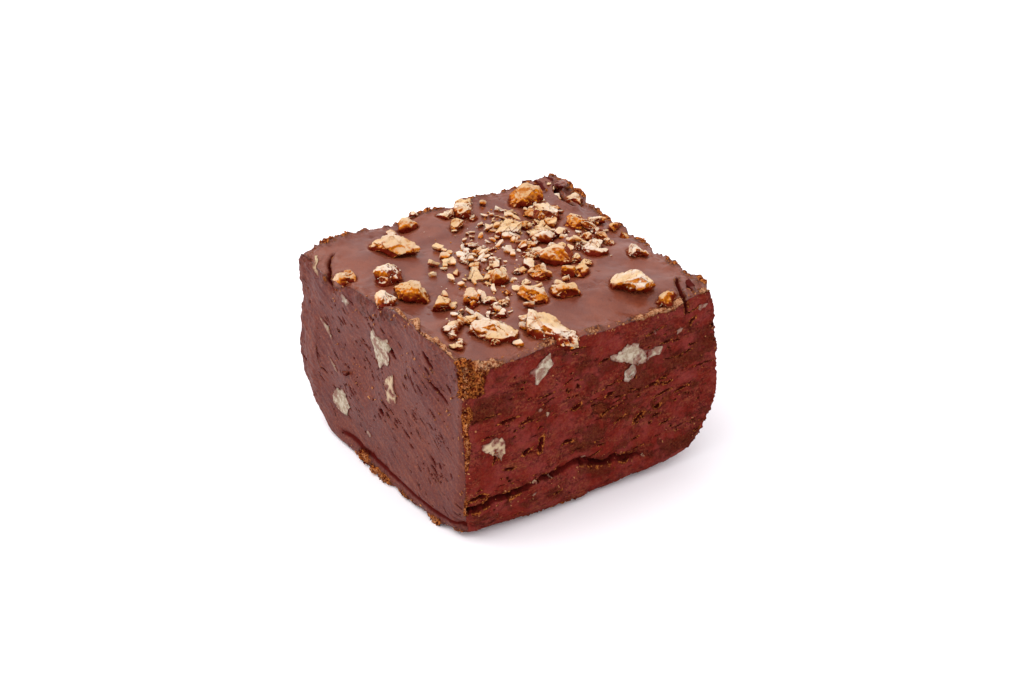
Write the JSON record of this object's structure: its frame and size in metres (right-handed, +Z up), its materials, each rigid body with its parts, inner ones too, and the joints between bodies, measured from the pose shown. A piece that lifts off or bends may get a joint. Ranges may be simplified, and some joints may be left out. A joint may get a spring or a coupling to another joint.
{
  "type": "chocolate fudge with chopped nuts",
  "caption": "Hand-cut square of chocolate fudge with two flat cut sides, two round-footed cast sides, a ragged rim and chopped nuts set in the top and the cut sides",
  "frame": {"origin": "middle of the flat underside, at the height of what it stands on", "axes": "+Z up; -X and -Y are the two knife-cut sides, +X and +Y the two cast sides with the round foot"},
  "size_m": [0.053, 0.0524, 0.0349],
  "materials": {
    "fudge": "satin, soft chocolate",
    "nut": "matt, broken nut flesh with brown skin"
  },
  "bodies": {
    "root": {"fudge": "fudge", "nut_walnut_half": "nut", "nut_big_wedge": "nut", "nut_near_rim_long": "nut", "nut_left_cluster": "nut", "nut_middle_dark": "nut", "nut_far_branched": "nut", "nut_tan_ridge": "nut", "nut_left_tan": "nut", "nut_left_split": "nut", "nut_far_star": "nut", "nut_far_corner": "nut", "nut_far_rim_orange": "nut", "nut_far_rim_pale": "nut", "nut_triangle": "nut", "nut_right_flat": "nut", "nut_middle_brown": "nut", "nut_middle_orange": "nut", "nut_centre_upright": "nut", "nut_near_left_flat": "nut", "nut_left_small": "nut", "nut_right_orange": "nut", "nut_far_orange": "nut", "nut_left_round": "nut", "nut_left_tear": "nut", "nut_right_tear": "nut", "nut_right_pale": "nut", "nut_middle_left": "nut", "nut_cut_left_upper": "nut", "nut_cut_left_rod": "nut", "nut_cut_left_low": "nut", "nut_cut_front_oval": "nut", "nut_cut_front_wide": "nut", "nut_cut_front_corner": "nut"}
  },
  "joints": []
}
